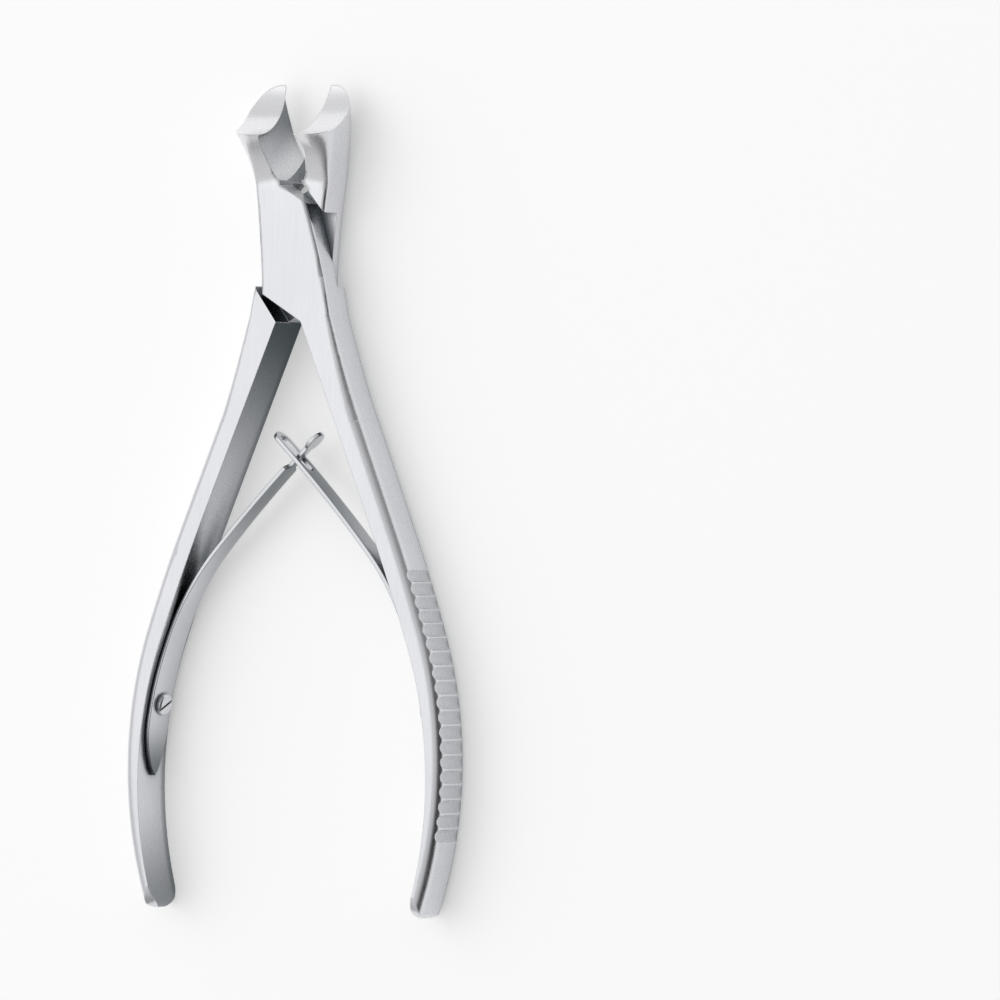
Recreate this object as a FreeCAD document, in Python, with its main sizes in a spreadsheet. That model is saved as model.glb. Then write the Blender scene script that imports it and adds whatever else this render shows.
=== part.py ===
import FreeCAD, Part
import math
import os

vec = FreeCAD.Vector
doc = FreeCAD.newDocument("boneRongeur")
os.makedirs("parts", exist_ok=True)

# Driving sizes in millimetres and degrees. Each half is drawn with the jaws closed on the plane x = 0
# and is then turned about the pivot axis by halfOpening.
sizes = [
    ("thickness", 10.9, "thickness of the joint and the handles"),
    ("lapClearance", 0.12, "gap between the two lap faces"),
    ("halfOpening", 8.0, "turn of each half away from the closed position, degrees"),
    ("jawRootHeight", 18.2, "height above the pivot where the jaw begins to flare"),
    ("jawRootDepth", 6.85, "depth of the jaw at its root, away from the closing plane"),
    ("jawRootInset", 0.3, "how far the root of the inner face stands back from the closing plane"),
    ("jawTipDepth", 8.2, "depth of the jaw at the cutting end"),
    ("frontEdgeRadius", 1.0, "rounding of the joint edges on the front face"),
    ("rearEdgeRadius", 4.0, "rounding of the joint and jaw edges on the rear face"),
    ("nearTipHeight", 27.8, "height of the near end of the cutting edge"),
    ("nearTipLevel", 17.04, "level of the near end of the cutting edge above the rear face"),
    ("farTipHeight", 39.04, "height of the far end of the cutting edge"),
    ("farTipLevel", 4.13, "level of the far end of the cutting edge above the rear face"),
    ("tipAllowance", 3.5, "stock beyond the cutting edge before it is scooped"),
    ("nearCornerSwell", 4.0, "how much larger the near edge's rounding grows towards the cutting edge"),
    ("scoopRadius", 14.63, "radius of the scooped cutting edge"),
    ("scoopHeight", 42.58, "height of the scoop axis above the pivot"),
    ("scoopLevel", 18.55, "level of the scoop axis above the rear face"),
    ("scoopTilt", 11.0, "rise of the scoop axis away from the closing plane, degrees"),
    ("firstBevelWidth", 0.45, "width of the first grinding band under the cutting edge"),
    ("firstBevelDepth", 0.8, "depth of the first grinding band"),
    ("secondBevelWidth", 0.5, "width of the second grinding band"),
    ("secondBevelDepth", 0.6, "depth of the second grinding band"),
    ("hollowDepth", 1.95, "deepest point of the hollow inner face"),
    ("hollowReach", 5.8, "distance of that point below the cutting edge"),
    ("hollowLength", 12.0, "distance of the hollow's lower end below the cutting edge"),
    ("rearBackRadius", 3.4, "rounding of the joint block's rear edge on its back"),
    ("joinShy", 0.025, "how far the handle's root stays inside the pieces that it joins"),
    ("lapTopInner", 16.95, "height of the inner end of the lap's upper edge"),
    ("lapTopOuter", 12.2, "height of the outer end of the lap's upper edge"),
    ("lapTopReach", 5.55, "reach of the lap's upper edge past the closing plane"),
    ("lapWaist", 7.45, "reach of the lap near the pivot"),
    ("lapHeel", 8.2, "reach of the lap's lower outer corner"),
    ("lapHeelHeight", 5.35, "drop of that corner below the pivot"),
    ("shoulderInner", 17.75, "height of the inner end of the jaw shoulder"),
    ("shoulderOuter", 12.5, "height of the jaw shoulder where it meets the outer side"),
    ("shoulderReach", 6.37, "reach of the jaw shoulder on the outer side"),
    ("handleShoulderInner", 12.75, "drop of the handle shoulder's inner end below the pivot"),
    ("handleShoulderOuter", 7.05, "drop of the handle shoulder's outer end below the pivot"),
    ("handleShoulderStart", 1.84, "reach of the handle shoulder's inner end"),
    ("handleShoulderReach", 7.47, "reach of the handle shoulder's outer end"),
    ("crotchDrop", 13.0, "drop of the crotch between the handles below the pivot"),
    ("handleRootInner", 1.65, "reach of the inner face where the handle begins"),
    ("handleRootDrop", 14.2, "drop of that point below the pivot"),
    ("handleRootDepth", 7.2, "depth of the handle where it begins"),
    ("handleHeading", 14.9, "lean of the straight upper handle, degrees"),
    ("upperRun", 44.4, "length of the straight upper handle"),
    ("middleRun", 30.0, "length of the slightly bent middle handle"),
    ("middleRadius", 500.0, "bend radius of the middle handle"),
    ("lowerRadius", 90.0, "bend radius of the lower handle"),
    ("handleLength", 133.4, "length of the inner face from its root to the rounded end"),
    ("blendLength", 24.0, "length of the root in which the handle's edges change from those of the joint"),
    ("blendDepth", 5.38, "depth of the handle at the end of that length"),
    ("backHeading", 14.4, "lean of the straight part of the back, degrees"),
    ("backRun", 25.9, "length of the straight part of the back below the root"),
    ("backBendRun", 23.6, "length of the slightly bent part of the back"),
    ("backBendRadius", 326.6, "bend radius of that part"),
    ("backLowerRadius", 93.2, "bend radius of the lower back"),
    ("handleEdgeRadius", 2.4, "rounding of the long edges of the handle's back"),
    ("endRadius", 5.1, "rounding of the handle's end seen from the inner side"),
    ("endSideRadius", 1.9, "rounding of the handle's end seen from the front"),
    ("scallopPitch", 3.06, "distance between two scallops"),
    ("scallopCount", 19.0, "number of scallops on each handle"),
    ("scallopStart", 59.9, "distance of the first scallop from the root of the handle"),
    ("scallopDepth", 0.6, "depth of a scallop"),
    ("scallopRadius", 2.1, "radius of a scallop"),
    ("pivotRadius", 2.25, "radius of the pivot screw"),
    ("pivotClearance", 0.04, "running clearance round the pivot screw"),
    ("pivotHeadRadius", 4.0, "radius of the countersunk head"),
    ("pivotHeadSink", 0.15, "how far the head lies under the rear face"),
    ("pivotCap", 1.4, "wall left over the blind pivot hole"),
    ("slotWidth", 0.9, "width of the pivot screw's slot"),
    ("slotDepth", 0.9, "depth of the pivot screw's slot"),
    ("leafThickness", 1.0, "thickness of each spring leaf"),
    ("leafFootWidth", 7.8, "width of the leaf at its screw"),
    ("leafWidth", 4.7, "width of the leaf near its free end"),
    ("leafSeatGap", 0.06, "gap between the leaf's foot and the handle"),
    ("leafFootEnd", 104.5, "distance of the leaf's pointed foot from the handle's root"),
    ("leafLift", 73.0, "distance from the handle's root where the leaf leaves the handle"),
    ("leafScrewPlace", 88.5, "distance of the spring screw from the handle's root"),
    ("leafBendRun", 22.0, "length over which the leaf bends away from the handle"),
    ("leafBendRadius", 58.0, "radius of that bend"),
    ("leafFreeRadius", 330.0, "radius of the nearly straight free end"),
    ("leafCrossing", 50.3, "length of the free leaf up to the crossing"),
    ("leafBeyond", 8.0, "length of each leaf beyond the crossing"),
    ("neckWidth", 1.9, "width of the tongue's neck"),
    ("paddleWidth", 3.8, "width of the tongue's oval end"),
    ("paddleLength", 5.0, "length of the tongue's oval end"),
    ("slotOpening", 2.6, "width of the slot in the other leaf"),
    ("slotLength", 11.0, "length of that slot"),
    ("slotEndWall", 1.3, "wall left beyond the slot"),
    ("springScrewRadius", 1.2, "radius of the spring screw's shank"),
    ("springScrewClearance", 0.1, "clearance of the leaf round the shank"),
    ("springHeadRadius", 2.35, "radius of the spring screw's head"),
    ("springHeadHeight", 1.2, "height of the spring screw's head"),
    ("springHeadBevel", 0.3, "bevel round the spring screw's head"),
    ("springScrewGrip", 2.6, "depth of the spring screw in the handle"),
    ("springSlotWidth", 0.6, "width of the spring screw's slot"),
    ("springSlotDepth", 0.55, "depth of the spring screw's slot"),
    ("threadGap", 0.05, "gap between a screw's shank and the hole it is fixed in"),
]

sheet = doc.addObject("Spreadsheet::Sheet", "sizes")
for line, (alias, value, words) in enumerate(sizes, start=1):
    sheet.set("A%d" % line, words)
    sheet.set("B%d" % line, "%g" % value)
    sheet.setAlias("B%d" % line, alias)
doc.recompute()


def size(alias):
    return float(sheet.get(alias))


def plane(body, role):
    return next(item for item in body.Origin.OriginFeatures if item.Role == role)


def addSketch(body, name, role, offset=None):
    sketch = body.newObject("Sketcher::SketchObject", name)
    sketch.AttachmentSupport = [(plane(body, role), "")]
    sketch.MapMode = "FlatFace"
    if offset is not None:
        sketch.AttachmentOffset = offset
    return sketch


def drawLines(sketch, points):
    """Closes a loop of straight lines through the points."""
    for start, end in zip(points, points[1:] + points[:1]):
        sketch.addGeometry(Part.LineSegment(vec(*start, 0), vec(*end, 0)), False)


def drawArc(sketch, start, middle, end):
    sketch.addGeometry(Part.Arc(vec(*start, 0), vec(*middle, 0), vec(*end, 0)), False)


def drawLine(sketch, start, end):
    sketch.addGeometry(Part.LineSegment(vec(*start, 0), vec(*end, 0)), False)


def drawCurve(sketch, points):
    curve = Part.BSplineCurve()
    curve.interpolate([vec(*point, 0) for point in points])
    sketch.addGeometry(curve, False)


def follow(x, y, lean, runs, distance):
    """Place and lean after a distance downwards along straight runs and arcs, each given as length and bend."""
    left = distance
    for run, bend in runs:
        part = min(left, run)
        if bend:
            turned = lean - part * bend
            x += (math.cos(turned) - math.cos(lean)) / bend
            y -= (math.sin(lean) - math.sin(turned)) / bend
            lean = turned
        else:
            x += part * math.sin(lean)
            y -= part * math.cos(lean)
        left -= part
        if left <= 0:
            break
    return x, y, lean


def handlePoint(distance):
    """Place and lean of the handle's inner face: a straight run, a slight bend and a stronger bend."""
    runs = ((size("upperRun"), 0.0), (size("middleRun"), 1 / size("middleRadius")), (1000.0, 1 / size("lowerRadius")))
    return follow(size("handleRootInner"), -size("handleRootDrop"), math.radians(size("handleHeading")), runs, distance)


def leafPoint(place):
    """Place and lean of a leaf's middle line. Below zero it lies on the handle, above zero it stands free."""
    off = size("leafSeatGap") + size("leafThickness") / 2
    x, y, lean = handlePoint(size("leafLift") - min(place, 0))
    x -= off * math.cos(lean)
    y -= off * math.sin(lean)
    if place > 0:
        runs = ((size("leafBendRun"), 1 / size("leafBendRadius")), (1000.0, 1 / size("leafFreeRadius")))
        x, y, lean = follow(x, y, lean + math.pi, [(run, -bend) for run, bend in runs], place)
        lean -= math.pi
    return x, y, lean


def backRuns():
    return (
        (size("backRun"), 0.0),
        (size("backBendRun"), 1 / size("backBendRadius")),
        (1000.0, 1 / size("backLowerRadius")),
    )


def backPoint(distance):
    """Place and lean of the handle's back below its root: a straight run and two arcs."""
    x, y, lean = handlePoint(size("blendLength"))
    x += size("blendDepth") * math.cos(lean)
    y += size("blendDepth") * math.sin(lean)
    return follow(x, y, math.radians(size("backHeading")), backRuns(), distance)


def handleDepth(distance):
    """Depth of the handle, square to its inner face."""
    root = size("blendLength")
    if distance <= root:
        share = 1 - distance / root
        return size("blendDepth") + (size("handleRootDepth") - size("blendDepth")) * share ** 1.6
    x, y, lean = handlePoint(distance)
    onBack = distance - root
    for attempt in range(20):
        backX, backY, backLean = backPoint(onBack)
        onBack -= (backX - x) * math.sin(lean) - (backY - y) * math.cos(lean)
    return (backX - x) * math.cos(lean) + (backY - y) * math.sin(lean)


def backLength():
    """Length of the back from the end of the root to the handle's end."""
    x, y, lean = handlePoint(size("handleLength"))
    onBack = size("handleLength") - size("blendLength")
    for attempt in range(20):
        backX, backY, backLean = backPoint(onBack)
        onBack -= (backX - x) * math.sin(lean) - (backY - y) * math.cos(lean)
    return onBack


def jawSections():
    """Far point, near point, depth, rear rounding and front rounding of each jaw section."""
    root = size("jawRootHeight")
    thick = size("thickness")
    farHeight = size("farTipHeight")
    farLevel = size("farTipLevel")
    nearHeight = size("nearTipHeight")
    nearLevel = size("nearTipLevel")
    rootDepth = size("jawRootDepth")
    tipDepth = size("jawTipDepth")
    rear = size("rearEdgeRadius")
    front = size("frontEdgeRadius")
    extra = size("tipAllowance")
    inset = size("jawRootInset")
    swell = size("nearCornerSwell")
    rise = farHeight - root
    nearRise = nearHeight - root
    flare = nearLevel - thick
    sections = [
        ((root, 0.0), (root, thick), rootDepth, rear, front, inset),
        ((root + 0.13 * rise, 0.0), (root + 0.15 * nearRise, thick + 0.07 * flare), rootDepth, rear, front + 0.2, 0.5 * inset),
        ((root + 0.30 * rise, 0.04 * farLevel), (root + 0.42 * nearRise, thick + 0.27 * flare), rootDepth + 0.2, rear + 0.8, front + 0.25 * swell, 0.0),
        ((root + 0.52 * rise, 0.21 * farLevel), (root + 0.70 * nearRise, thick + 0.53 * flare), 0.5 * (rootDepth + tipDepth), rear + 1.6, front + 0.5 * swell, 0.0),
        ((root + 0.76 * rise, 0.49 * farLevel), (root + 0.90 * nearRise, thick + 0.82 * flare), tipDepth - 0.3, rear + 2.6, front + 0.8 * swell, 0.0),
        ((farHeight, farLevel), (nearHeight, nearLevel), tipDepth, rear + 3.4, front + swell, 0.0),
        ((farHeight + 0.93 * extra, farLevel + 0.36 * extra), (nearHeight + 0.68 * extra, nearLevel + 0.73 * extra), tipDepth + 0.1, rear + 3.6, front + swell, 0.0),
    ]
    return sections


def buildJaw(name, side):
    body = doc.addObject("PartDesign::Body", name)
    profiles = []
    for number, (far, near, depth, rear, front, inset) in enumerate(jawSections()):
        width = math.hypot(near[0] - far[0], near[1] - far[1])
        tilt = math.degrees(math.atan2(far[0] - near[0], near[1] - far[1]))
        offset = FreeCAD.Placement(vec(0, far[1], -far[0]), FreeCAD.Rotation(vec(1, 0, 0), tilt))
        sketch = addSketch(body, "%sSection%d" % (name, number), "XZ_Plane", offset)
        out = -side
        corner = math.sqrt(0.5)
        drawLine(sketch, (out * inset, 0), (out * (depth - rear), 0))
        drawArc(sketch, (out * (depth - rear), 0), (out * (depth - rear + rear * corner), rear * (1 - corner)), (out * depth, rear))
        drawLine(sketch, (out * depth, rear), (out * depth, width - front))
        drawArc(sketch, (out * depth, width - front), (out * (depth - front + front * corner), width - front * (1 - corner)), (out * (depth - front), width))
        drawLine(sketch, (out * (depth - front), width), (out * inset, width))
        drawLine(sketch, (out * inset, width), (out * inset, 0))
        profiles.append(sketch)
    doc.recompute()
    loft = body.newObject("PartDesign::AdditiveLoft", name + "Loft")
    loft.Profile = profiles[0]
    loft.Sections = profiles[1:]
    loft.Ruled = False
    doc.recompute()

    # Two narrow grinding bands and the hollow inner face, all turned about the scoop's own centre.
    hollow = addSketch(body, name + "Hollow", "XY_Plane", FreeCAD.Placement(vec(0, size("scoopHeight"), size("scoopLevel")), FreeCAD.Rotation()))
    edge = -size("scoopRadius")
    firstWidth = edge - size("firstBevelWidth")
    firstDepth = -side * size("firstBevelDepth")
    secondWidth = firstWidth - size("secondBevelWidth")
    secondDepth = firstDepth - side * size("secondBevelDepth")
    deepWidth = edge - size("hollowReach")
    deepDepth = -side * size("hollowDepth")
    rootWidth = edge - size("hollowLength")
    rootDepth = -side * size("jawRootInset")
    drawLine(hollow, (0, edge), (firstDepth, firstWidth))
    drawLine(hollow, (firstDepth, firstWidth), (secondDepth, secondWidth))
    drawArc(hollow, (secondDepth, secondWidth), (deepDepth, deepWidth), (rootDepth, rootWidth))
    drawLine(hollow, (rootDepth, rootWidth), (side * 2.0, rootWidth))
    drawLine(hollow, (side * 2.0, rootWidth), (side * 2.0, edge))
    drawLine(hollow, (side * 2.0, edge), (0, edge))
    doc.recompute()
    groove = body.newObject("PartDesign::Groove", name + "Groove")
    groove.Profile = hollow
    groove.ReferenceAxis = (hollow, ["H_Axis"])
    groove.Angle = 360
    doc.recompute()
    return body


def findEdges(shape, test):
    return ["Edge%d" % number for number, edge in enumerate(shape.Edges, start=1) if test(edge)]


def buildHandleRoot(name, side):
    """The top of the handle, whose rounded edges change from those of the joint block to those of the handle."""
    body = doc.addObject("PartDesign::Body", name)
    thick = size("thickness")
    near = size("frontEdgeRadius")
    far = size("rearBackRadius")
    edge = size("handleEdgeRadius")
    shy = size("joinShy")
    profiles = []
    for number, share in enumerate((0.0, 0.2, 0.5, 1.0)):
        distance = share * size("blendLength")
        x, y, lean = handlePoint(distance)
        inside = shy if share in (0.0, 1.0) else 0
        depth = handleDepth(distance) - inside
        farRound = far + (edge - far) * share + 4 * inside
        nearRound = near + (edge - near) * share + 4 * inside
        turn = FreeCAD.Rotation(vec(0, 1, 0), math.degrees(side * lean))
        sketch = addSketch(body, "%sSection%d" % (name, number), "XZ_Plane", FreeCAD.Placement(vec(side * x, 0, -y), turn))
        corner = math.sqrt(0.5)

        def at(across, level):
            return (side * across, level)

        drawLine(sketch, at(0, 0), at(depth - farRound, 0))
        drawArc(sketch, at(depth - farRound, 0), at(depth - farRound * (1 - corner), farRound * (1 - corner)), at(depth, farRound))
        drawLine(sketch, at(depth, farRound), at(depth, thick - nearRound))
        drawArc(sketch, at(depth, thick - nearRound),
                at(depth - nearRound * (1 - corner), thick - nearRound * (1 - corner)), at(depth - nearRound, thick))
        drawLine(sketch, at(depth - nearRound, thick), at(0, thick))
        drawLine(sketch, at(0, thick), at(0, 0))
        profiles.append(sketch)
    doc.recompute()
    loft = body.newObject("PartDesign::AdditiveLoft", name + "Loft")
    loft.Profile = profiles[0]
    loft.Sections = profiles[1:]
    loft.Ruled = False
    doc.recompute()
    return body


def drawRuns(sketch, pointAt, stops, side):
    """Lines and arcs from stop to stop along a path, each arc through the point halfway."""
    for start, end in zip(stops[:-1], stops[1:]):
        points = [pointAt(distance) for distance in (start, (start + end) / 2, end)]
        first, middle, last = [(side * x, y) for x, y, lean in points]
        if abs(points[0][2] - points[2][2]) < 1e-9:
            drawLine(sketch, first, last)
        else:
            drawArc(sketch, first, middle, last)


def buildHandle(name, side):
    """The handle below its root: its outline from the front, with both long edges of the back rounded."""
    body = doc.addObject("PartDesign::Body", name)
    thick = size("thickness")
    root = size("blendLength")
    length = size("handleLength")
    bend = size("upperRun")
    outline = addSketch(body, name + "Outline", "XY_Plane")
    drawRuns(outline, handlePoint, (root, bend, bend + size("middleRun"), length), side)
    end = backLength()
    x, y, lean = handlePoint(length)
    endX, endY, endLean = backPoint(end)
    drawLine(outline, (side * x, y), (side * endX, endY))
    straight = size("backRun")
    drawRuns(outline, backPoint, (end, straight + size("backBendRun"), straight, 0.0), side)
    x, y, lean = handlePoint(root)
    topX, topY, topLean = backPoint(0.0)
    drawLine(outline, (side * topX, topY), (side * x, y))
    doc.recompute()
    pad = body.newObject("PartDesign::Pad", name + "Pad")
    pad.Profile = outline
    pad.setExpression("Length", "sizes.thickness")
    doc.recompute()

    backs = [backPoint(distance)[:2] for distance in (straight / 2, straight + 1, end - 1)]

    def longEdge(edge):
        if abs(edge.Vertexes[0].Z - edge.Vertexes[-1].Z) > 1e-6:
            return False
        level = edge.Vertexes[0].Z
        return any(edge.distToShape(Part.Vertex(side * x, y, level))[0] < 1e-4 for x, y in backs)

    rounding = body.newObject("PartDesign::Fillet", name + "BackRound")
    rounding.Base = (pad, findEdges(pad.Shape, longEdge))
    rounding.setExpression("Radius", "sizes.handleEdgeRadius")
    doc.recompute()
    return body


def buildJoint(name, side, lapInFront):
    body = doc.addObject("PartDesign::Body", name)
    thick = size("thickness")
    root = size("jawRootHeight")
    depth = size("jawRootDepth")
    inset = size("jawRootInset")
    heel = (-size("lapHeel"), -size("lapHeelHeight"))
    rootX, rootY, lean = handlePoint(0)
    backX = rootX + size("handleRootDepth") * math.cos(lean)
    backY = rootY + size("handleRootDepth") * math.sin(lean)
    crotch = (rootX - (-size("crotchDrop") - rootY) * math.tan(lean), -size("crotchDrop"))
    topReach = size("lapTopReach")
    outline = addSketch(body, name + "Outline", "XY_Plane")

    def flip(x, y):
        return (side * x, y)

    rise = root - heel[1]
    bulge = (size("lapHeel") - depth) * 0.25
    drawLine(outline, flip(-inset, root), flip(-inset, size("lapTopInner")))
    drawLine(outline, flip(-inset, size("lapTopInner")), flip(topReach, size("lapTopOuter")))
    drawArc(outline, flip(topReach, size("lapTopOuter")), flip(size("lapWaist"), 1.0), flip(backX, backY))
    drawLine(outline, flip(backX, backY), flip(rootX, rootY))
    drawLine(outline, flip(rootX, rootY), flip(*crotch))
    drawLine(outline, flip(*crotch), flip(*heel))
    drawArc(outline, flip(*heel), flip(-depth - bulge, root - rise / 2), flip(-depth, root))
    drawLine(outline, flip(-depth, root), flip(-inset, root))
    doc.recompute()
    pad = body.newObject("PartDesign::Pad", name + "Pad")
    pad.Profile = outline
    pad.setExpression("Length", "sizes.thickness")
    doc.recompute()

    def longEdge(edge, level, left):
        box = edge.BoundBox
        onLevel = abs(box.ZMin - level) < 1e-4 and abs(box.ZMax - level) < 1e-4
        curved = edge.Curve.TypeId == "Part::GeomCircle"
        return onLevel and curved and (side * box.Center.x < 0) == left

    frontRound = body.newObject("PartDesign::Fillet", name + "FrontRound")
    frontRound.Base = (pad, findEdges(pad.Shape, lambda e: longEdge(e, thick, True) or longEdge(e, thick, False)))
    frontRound.setExpression("Radius", "sizes.frontEdgeRadius")
    doc.recompute()
    rearJawRound = body.newObject("PartDesign::Fillet", name + "RearJawRound")
    rearJawRound.Base = (frontRound, findEdges(frontRound.Shape, lambda e: longEdge(e, 0, True)))
    rearJawRound.setExpression("Radius", "sizes.rearEdgeRadius")
    doc.recompute()
    rearBackRound = body.newObject("PartDesign::Fillet", name + "RearBackRound")
    rearBackRound.Base = (rearJawRound, findEdges(rearJawRound.Shape, lambda e: longEdge(e, 0, False)))
    rearBackRound.setExpression("Radius", "sizes.rearBackRadius")
    doc.recompute()

    # The half thickness removed for the other half's lap.
    gap = size("lapClearance") / 2
    level = thick / 2 + gap if lapInFront else thick / 2 - gap
    recess = addSketch(body, name + "Recess", "XY_Plane", FreeCAD.Placement(vec(0, 0, level), FreeCAD.Rotation()))
    shoulderSlope = (size("shoulderInner") - size("shoulderOuter")) / (size("shoulderReach") - inset)
    handleSlope = (size("handleShoulderInner") - size("handleShoulderOuter")) / (size("handleShoulderReach") - size("handleShoulderStart"))
    far = 14.0
    points = [
        flip(inset, size("shoulderInner") + 2 * inset * shoulderSlope),
        flip(-far, size("shoulderInner") - (far - inset) * shoulderSlope),
        flip(-far, -20.0),
        flip(rootX - 3.0, -20.0),
        flip(size("handleShoulderStart") - 1.6, -size("handleShoulderInner") - 1.6 * handleSlope),
        flip(far, -size("handleShoulderInner") + (far - size("handleShoulderStart")) * handleSlope),
        flip(far, size("shoulderInner") + 2 * inset * shoulderSlope),
    ]
    drawLines(recess, points)
    doc.recompute()
    pocket = body.newObject("PartDesign::Pocket", name + "Pocket")
    pocket.Profile = recess
    pocket.Length = 20
    pocket.Reversed = not lapInFront
    doc.recompute()
    return body


def place(item, name, side):
    """Turns a piece of one half about the pivot axis, from closed to the open position in which it rests."""
    item.Label = name
    item.Placement = FreeCAD.Placement(vec(0, 0, 0), FreeCAD.Rotation(vec(0, 0, 1), side * size("halfOpening")))


def cylinder(name, radius, height, base, direction):
    item = doc.addObject("Part::Cylinder", name)
    item.Radius = radius
    item.Height = height
    item.Placement = FreeCAD.Placement(base, FreeCAD.Rotation(vec(0, 0, 1), direction))
    return item


def frame(origin, along, across):
    """A placement whose x axis runs along and whose y axis runs across."""
    up = along.cross(across)
    return FreeCAD.Placement(FreeCAD.Matrix(
        along.x, across.x, up.x, origin.x,
        along.y, across.y, up.y, origin.y,
        along.z, across.z, up.z, origin.z,
        0, 0, 0, 1))


def cornerTool(name, radius, length, where):
    """What lies outside a rounded corner: a square bar without the round bar of the corner."""
    bar = doc.addObject("Part::Box", name + "Bar")
    bar.Length = radius + 2
    bar.Width = radius + 2
    bar.Height = length
    bar.Placement = where
    rod = doc.addObject("Part::Cylinder", name + "Rod")
    rod.Radius = radius
    rod.Height = length
    rod.Placement = where
    tool = doc.addObject("Part::Cut", name)
    tool.Base = bar
    tool.Tool = rod
    return tool


def buildHalf(name, side, lapInFront):
    joint = buildJoint(name + "Joint", side, lapInFront)
    jaw = buildJaw(name + "Jaw", side)
    root = buildHandleRoot(name + "HandleRoot", side)
    handle = buildHandle(name + "Handle", side)
    thick = size("thickness")
    blank = doc.addObject("Part::MultiFuse", name + "Blank")
    blank.Shapes = [joint, jaw, root, handle]
    blank.Refine = False
    doc.recompute()

    tilt = math.radians(size("scoopTilt"))
    direction = vec(-side * math.cos(tilt), 0.754 * math.sin(tilt), 0.656 * math.sin(tilt))
    centre = vec(0, size("scoopHeight"), size("scoopLevel"))
    scoop = cylinder(name + "Scoop", 1, 30, centre - direction * 3, direction)
    scoop.setExpression("Radius", "sizes.scoopRadius")
    tools = [scoop]

    gap = size("lapClearance") / 2
    if lapInFront:
        hole = cylinder(name + "PivotHole", 1, thick - size("pivotCap"), vec(0, 0, 0), vec(0, 0, 1))
        hole.setExpression("Radius", "sizes.pivotRadius + sizes.threadGap")
        tools.append(hole)
    else:
        hole = cylinder(name + "PivotHole", 1, thick + 2, vec(0, 0, -1), vec(0, 0, 1))
        hole.setExpression("Radius", "sizes.pivotRadius + sizes.pivotClearance")
        sink = doc.addObject("Part::Cone", name + "Countersink")
        sink.setExpression("Radius1", "sizes.pivotHeadRadius + sizes.pivotClearance + 1")
        sink.Radius2 = 1
        sink.setExpression("Height", "sizes.pivotHeadRadius + sizes.pivotClearance")
        sink.Placement = FreeCAD.Placement(vec(0, 0, -1), FreeCAD.Rotation())
        tools += [hole, sink]

    # Scallops across the crowned back, one cylinder each.
    reach = size("scallopRadius") - size("scallopDepth")
    grooves = []
    for number in range(int(round(size("scallopCount")))):
        distance = size("scallopStart") + number * size("scallopPitch")
        x, y, lean = handlePoint(distance)
        away = handleDepth(distance) + reach
        centre = vec(side * (x + away * math.cos(lean)), y + away * math.sin(lean), -1)
        groove = cylinder("%sScallop%d" % (name, number), 1, thick + 2, centre, vec(0, 0, 1))
        groove.setExpression("Radius", "sizes.scallopRadius")
        grooves.append(groove)
    scallops = doc.addObject("Part::MultiFuse", name + "Scallops")
    scallops.Shapes = grooves
    scallops.Refine = False
    tools.append(scallops)

    x, y, lean = handlePoint(size("leafScrewPlace"))
    outward = vec(side * math.cos(lean), math.sin(lean), 0)
    screwHole = cylinder(name + "SpringScrewHole", 1, size("springScrewGrip") + 0.3, vec(side * x, y, thick / 2), outward)
    screwHole.setExpression("Radius", "sizes.springScrewRadius + sizes.threadGap")
    tools.append(screwHole)

    # The handle's end is rounded as seen from the inner side and, more tightly, as seen from the front.
    length = size("handleLength")
    endDepth = handleDepth(length)
    x, y, lean = handlePoint(length)
    end = vec(side * x, y, 0)
    along = vec(side * math.sin(lean), -math.cos(lean), 0)
    outward = vec(side * math.cos(lean), math.sin(lean), 0)
    up = vec(0, 0, 1)
    reach = endDepth + 6
    wide = size("endRadius")
    tight = size("endSideRadius")
    shy = 0.02
    for label, level, across in (("Low", wide - shy, -up), ("High", thick - wide + shy, up)):
        start = end - along * (wide - shy) + up * level
        start -= along.cross(across) * (reach / 2) - outward * (endDepth / 2)
        tools.append(cornerTool(name + "End" + label, wide, reach, frame(start, along, across)))
    for label, level, across in (("Inner", tight - shy, -outward), ("Outer", endDepth - tight, outward)):
        start = end - along * (tight - shy) + outward * level + up * (thick / 2)
        start -= along.cross(across) * (thick / 2 + 1)
        tools.append(cornerTool(name + "End" + label, tight, thick + 2, frame(start, along, across)))

    half = blank
    for number, tool in enumerate(tools):
        cut = doc.addObject("Part::Cut", "%sCut%d" % (name, number))
        cut.Base = half
        cut.Tool = tool
        cut.Refine = False
        half = cut
    place(half, name, side)
    doc.recompute()
    return half


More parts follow.
